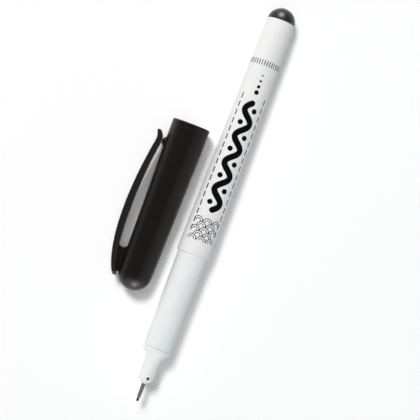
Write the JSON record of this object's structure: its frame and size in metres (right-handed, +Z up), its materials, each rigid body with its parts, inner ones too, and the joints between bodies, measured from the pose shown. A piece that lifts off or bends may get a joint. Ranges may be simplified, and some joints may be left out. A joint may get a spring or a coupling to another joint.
{
  "type": "fabric marker",
  "caption": "Slim fabric marker lying with its clip cap off beside it: white tapered barrel and grip, fine nib in a metal sleeve, dark domed end plug and a dark cap with a sprung pocket clip.",
  "frame": {"origin": "on the table under the middle of the box round the pen and its cap", "axes": "+X along the pen from nib to end plug, +Z up from the table, +Y from the pen towards the cap"},
  "size_m": [0.134, 0.0314, 0.0125],
  "materials": {
    "barrel_white": "satin gloss, printed",
    "grip_white": "gloss",
    "holder_white": "gloss",
    "sleeve_metal": "drawn",
    "ink_black": "inked fibre",
    "core_fibre": "inked fibre",
    "film_clear": "film",
    "plug_black": "gloss",
    "cap_black": "satin",
    "liner_dark": "satin"
  },
  "bodies": {
    "pen": {"barrel": "barrel_white", "grip_section": "grip_white", "tip_holder": "holder_white", "tip_sleeve": "sleeve_metal", "nib": "ink_black", "ink_core": "core_fibre", "core_film": "film_clear", "end_plug": "plug_black"},
    "cap": {"cap_shell": "cap_black", "inner_cap": "liner_dark"},
    "clip": {"clip": "cap_black"}
  },
  "joints": [
    {"name": "cap_slide", "type": "slide", "parent": "pen", "child": "cap", "axis": [-1, 0, 0], "range_m": [0, 0.0925]},
    {"name": "clip_flex", "type": "hinge", "parent": "cap", "child": "clip", "pos_m": [-0.02109, 0.014, 0.00567], "axis": [-0.015, 0, 0.9999], "range_deg": [0, 4.5], "stiffness_Nm_per_rad": 1.5, "springref_deg": -1.15}
  ]
}
